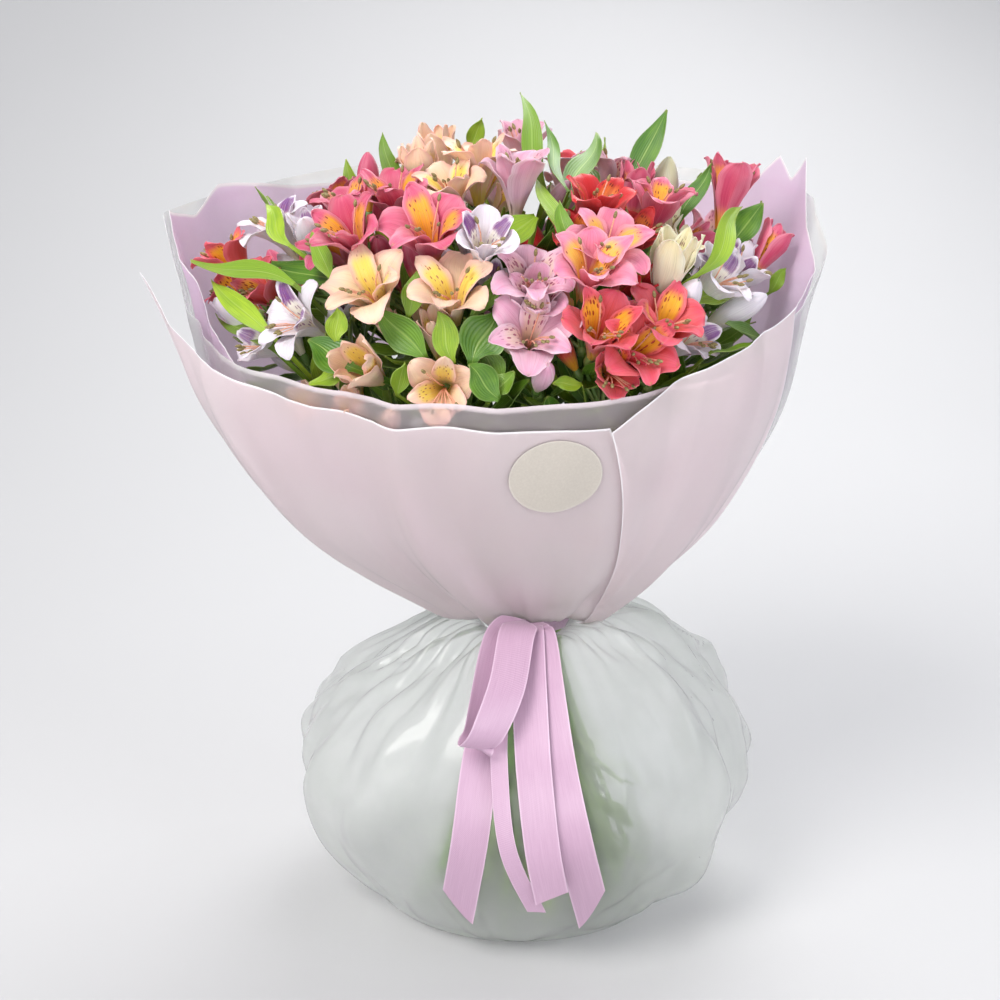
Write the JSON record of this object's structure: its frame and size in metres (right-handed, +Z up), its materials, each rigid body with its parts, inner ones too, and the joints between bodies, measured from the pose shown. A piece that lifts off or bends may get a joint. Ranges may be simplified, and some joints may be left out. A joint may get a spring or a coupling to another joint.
{
  "type": "bouquet of cut alstroemeria stems",
  "caption": "Hand-tied bunch of cut alstroemeria with leaves, wrapped in frosted film and lilac sheets, standing on its puffed film base with a satin ribbon.",
  "frame": {"origin": "on the surface that it stands on, under the tie, at the middle of the gathered base", "axes": "+Z up, -Y towards the front with the ribbon and the label, +X to the right seen from the front"},
  "size_m": [0.4151, 0.3108, 0.5224],
  "materials": {
    "petals_rose": "soft petal, streaked",
    "petals_flame": "soft petal, streaked",
    "petals_scarlet": "soft petal, streaked",
    "petals_peach": "soft petal, streaked",
    "petals_blush": "soft petal, streaked",
    "petals_plum": "soft petal, streaked",
    "petals_salmon": "soft petal, streaked",
    "petals_cream": "soft petal, streaked",
    "leaf_green": "satin leaf",
    "frosted_film": "frosted, translucent",
    "lilac_sheet": "matt, translucent",
    "satin_ribbon": "satin",
    "blank_label": "matt, blank",
    "string": "twisted twine"
  },
  "bodies": {
    "root": {"film_bag": "frosted_film", "paper_back_left": "lilac_sheet", "paper_back_right": "lilac_sheet", "paper_front": "lilac_sheet", "paper_front_right": "lilac_sheet", "ribbon": "satin_ribbon", "stem_blush_back_right": "leaf_green", "stem_blush_mid": "leaf_green", "stem_blush_top": "leaf_green", "stem_cream_top": "leaf_green", "stem_flame_back_right": "leaf_green", "stem_flame_front": "leaf_green", "stem_flame_left": "leaf_green", "stem_peach_back": "leaf_green", "stem_peach_front": "leaf_green", "stem_peach_mid": "leaf_green", "stem_peach_top": "leaf_green", "stem_plum_back": "leaf_green", "stem_plum_left": "leaf_green", "stem_plum_low_right": "leaf_green", "stem_plum_mid": "leaf_green", "stem_plum_right": "leaf_green", "stem_plum_top_left": "leaf_green", "stem_rose_back_left": "leaf_green", "stem_rose_left": "leaf_green", "stem_rose_mid": "leaf_green", "stem_rose_right": "leaf_green", "stem_rose_top_right": "leaf_green", "stem_salmon_mid": "leaf_green", "stem_scarlet_top": "leaf_green", "tie_string": "string", "sticker": "blank_label", "umbel_blush_back_right": "petals_blush", "umbel_blush_mid": "petals_blush", "umbel_blush_top": "petals_blush", "umbel_cream_top": "petals_cream", "umbel_flame_back_right": "petals_flame", "umbel_flame_front": "petals_flame", "umbel_flame_left": "petals_flame", "umbel_peach_back": "petals_peach", "umbel_peach_front": "petals_peach", "umbel_peach_mid": "petals_peach", "umbel_peach_top": "petals_peach", "umbel_plum_back": "petals_plum", "umbel_plum_left": "petals_plum", "umbel_plum_low_right": "petals_plum", "umbel_plum_mid": "petals_plum", "umbel_plum_right": "petals_plum", "umbel_plum_top_left": "petals_plum", "umbel_rose_back_left": "petals_rose", "umbel_rose_left": "petals_rose", "umbel_rose_mid": "petals_rose", "umbel_rose_right": "petals_rose", "umbel_rose_top_right": "petals_rose", "umbel_salmon_mid": "petals_salmon", "umbel_scarlet_top": "petals_scarlet"}
  },
  "joints": []
}
